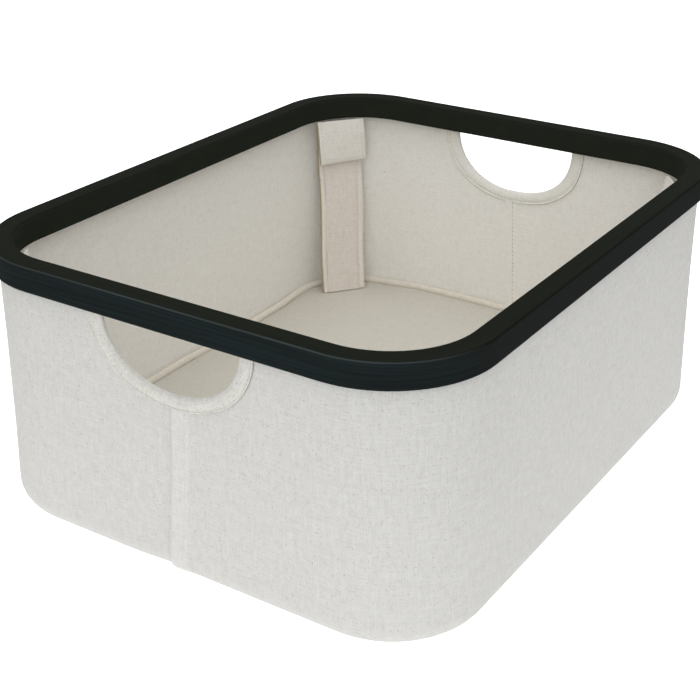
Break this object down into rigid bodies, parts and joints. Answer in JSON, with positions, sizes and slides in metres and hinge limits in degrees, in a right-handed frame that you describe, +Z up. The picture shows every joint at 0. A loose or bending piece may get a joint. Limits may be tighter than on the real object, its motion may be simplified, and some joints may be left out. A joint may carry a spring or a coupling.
{
  "type": "storage basket",
  "caption": "Rectangular canvas basket with rounded corners, a black bent-wood rim, bound handle holes in its short walls and covered corner stays that fold so the rim drops.",
  "frame": {"origin": "middle of the flat underside, on the surface that the basket stands on", "axes": "+X along the long sides towards the right handle wall, +Y across towards the back, +Z up"},
  "size_m": [0.401, 0.32, 0.171],
  "materials": {
    "stained_wood": "black stain, satin, fine grain along the hoop",
    "canvas": "natural linen and cotton canvas with darker flecks",
    "lining": "natural canvas lining",
    "binding": "folded canvas tape",
    "piping": "canvas over cord",
    "sleeve": "canvas sleeve, edge stitched",
    "flap": "double canvas",
    "pad": "needled fibre wadding",
    "board": "hardboard",
    "batten": "moulded strip",
    "fastening_tape": "woven hook and loop tape"
  },
  "bodies": {
    "bag": {"canvas_front": "canvas", "canvas_back": "canvas", "lining_front": "lining", "lining_back": "lining", "canvas_seam_left": "canvas", "canvas_seam_right": "canvas", "lining_seam_left": "lining", "lining_seam_right": "lining", "handle_binding_left": "binding", "handle_binding_right": "binding", "base_canvas": "canvas", "base_board": "board", "base_pad": "pad", "base_cover": "lining", "base_piping": "piping"},
    "rim": {"rim_hoop": "stained_wood"},
    "stay_front_left": {"stay_sleeve_front_left": "sleeve", "stay_batten_front_left": "batten", "loop_tape_front_left": "fastening_tape"},
    "flap_front_left": {"corner_flap_front_left": "flap", "hook_tape_front_left": "fastening_tape"},
    "stay_front_right": {"stay_sleeve_front_right": "sleeve", "stay_batten_front_right": "batten", "loop_tape_front_right": "fastening_tape"},
    "flap_front_right": {"corner_flap_front_right": "flap", "hook_tape_front_right": "fastening_tape"},
    "stay_back_left": {"stay_sleeve_back_left": "sleeve", "stay_batten_back_left": "batten", "loop_tape_back_left": "fastening_tape"},
    "flap_back_left": {"corner_flap_back_left": "flap", "hook_tape_back_left": "fastening_tape"},
    "stay_back_right": {"stay_sleeve_back_right": "sleeve", "stay_batten_back_right": "batten", "loop_tape_back_right": "fastening_tape"},
    "flap_back_right": {"corner_flap_back_right": "flap", "hook_tape_back_right": "fastening_tape"}
  },
  "joints": [
    {"name": "rim_drop", "type": "slide", "parent": "bag", "child": "rim", "axis": [0, 0, -1], "range_m": [0, 0.097], "deforming": ["canvas_front", "canvas_back", "lining_front", "lining_back", "canvas_seam_left", "canvas_seam_right", "lining_seam_left", "lining_seam_right", "handle_binding_left", "handle_binding_right", "corner_flap_front_left", "hook_tape_front_left", "corner_flap_front_right", "hook_tape_front_right", "corner_flap_back_left", "hook_tape_back_left", "corner_flap_back_right", "hook_tape_back_right"]},
    {"name": "stay_fold_front_left", "type": "hinge", "parent": "bag", "child": "stay_front_left", "pos_m": [-0.16191, -0.12813, 0.0188], "axis": [-0.788, 0.6157, 0], "range_deg": [0, 93.56]},
    {"name": "flap_lift_front_left", "type": "hinge", "parent": "rim", "child": "flap_front_left", "pos_m": [-0.16584, -0.13317, 0.1539], "axis": [0.788, -0.6157, 0], "range_deg": [0, 145]},
    {"name": "stay_fold_front_right", "type": "hinge", "parent": "bag", "child": "stay_front_right", "pos_m": [0.16191, -0.12813, 0.0188], "axis": [-0.788, -0.6157, 0], "range_deg": [0, 93.56]},
    {"name": "flap_lift_front_right", "type": "hinge", "parent": "rim", "child": "flap_front_right", "pos_m": [0.16584, -0.13317, 0.1539], "axis": [0.788, 0.6157, 0], "range_deg": [0, 145]},
    {"name": "stay_fold_back_left", "type": "hinge", "parent": "bag", "child": "stay_back_left", "pos_m": [-0.16191, 0.12813, 0.0188], "axis": [0.788, 0.6157, 0], "range_deg": [0, 93.56]},
    {"name": "flap_lift_back_left", "type": "hinge", "parent": "rim", "child": "flap_back_left", "pos_m": [-0.16584, 0.13317, 0.1539], "axis": [-0.788, -0.6157, 0], "range_deg": [0, 145]},
    {"name": "stay_fold_back_right", "type": "hinge", "parent": "bag", "child": "stay_back_right", "pos_m": [0.16191, 0.12813, 0.0188], "axis": [0.788, -0.6157, 0], "range_deg": [0, 93.56]},
    {"name": "flap_lift_back_right", "type": "hinge", "parent": "rim", "child": "flap_back_right", "pos_m": [0.16584, 0.13317, 0.1539], "axis": [-0.788, 0.6157, 0], "range_deg": [0, 145]}
  ],
  "couplings": [
    {"joint": "stay_fold_front_left", "follows": "rim_drop", "rad_per_m": 16.826},
    {"joint": "stay_fold_front_right", "follows": "rim_drop", "rad_per_m": 16.826},
    {"joint": "stay_fold_back_left", "follows": "rim_drop", "rad_per_m": 16.826},
    {"joint": "stay_fold_back_right", "follows": "rim_drop", "rad_per_m": 16.826}
  ]
}
